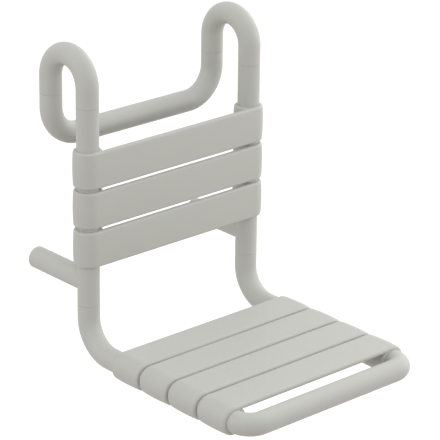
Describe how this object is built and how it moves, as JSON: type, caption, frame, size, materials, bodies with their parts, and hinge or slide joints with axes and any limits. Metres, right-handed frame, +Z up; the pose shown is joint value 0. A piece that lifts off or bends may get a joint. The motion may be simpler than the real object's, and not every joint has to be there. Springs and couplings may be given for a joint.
{
  "type": "hook-in shower seat",
  "caption": "Shower seat of bent nylon-jacketed tube with slatted seat and backrest, hung on a grab rail by two hooks and held off the wall by two struts.",
  "frame": {"origin": "on the axis of the grab rail that the hooks hang on, halfway across the seat", "axes": "+X along the grab rail, to the right when facing the wall; +Y towards the wall; +Z up"},
  "size_m": [0.3536, 0.4814, 0.4793],
  "materials": {
    "nylon_tube": "through-coloured light warm-grey nylon, smooth silk-matt",
    "nylon_slat": "through-coloured light warm-grey nylon, injection-moulded, silk-matt",
    "nylon_cap": "through-coloured light warm-grey nylon, flat silk-matt face",
    "core_steel": "zinc-coated steel, hidden inside the jackets",
    "screw_steel": "stainless steel"
  },
  "bodies": {
    "root": {"rear_crossbar": "nylon_tube", "front_bar": "nylon_tube", "hook_left": "nylon_tube", "upright_left": "nylon_tube", "seat_rail_left": "nylon_tube", "strut_left": "nylon_tube", "hook_right": "nylon_tube", "upright_right": "nylon_tube", "seat_rail_right": "nylon_tube", "strut_right": "nylon_tube", "back_slat_lower": "nylon_slat", "back_slat_middle": "nylon_slat", "back_slat_upper": "nylon_slat", "seat_slat_rear": "nylon_slat", "seat_slat_mid_rear": "nylon_slat", "seat_slat_mid_front": "nylon_slat", "seat_slat_front": "nylon_slat", "strut_cap_left": "nylon_cap", "strut_cap_right": "nylon_cap", "rear_crossbar_core": "core_steel", "front_bar_core": "core_steel", "hook_core_left": "core_steel", "upright_core_left": "core_steel", "seat_rail_core_left": "core_steel", "strut_core_left": "core_steel", "hook_core_right": "core_steel", "upright_core_right": "core_steel", "seat_rail_core_right": "core_steel", "strut_core_right": "core_steel", "upper_spigot_left": "core_steel", "rear_leg_spigot_left": "core_steel", "lower_spigot_left": "core_steel", "front_spigot_left": "core_steel", "upper_spigot_right": "core_steel", "rear_leg_spigot_right": "core_steel", "lower_spigot_right": "core_steel", "front_spigot_right": "core_steel", "back_slat_screws": "screw_steel", "seat_slat_screws": "screw_steel"}
  },
  "joints": []
}
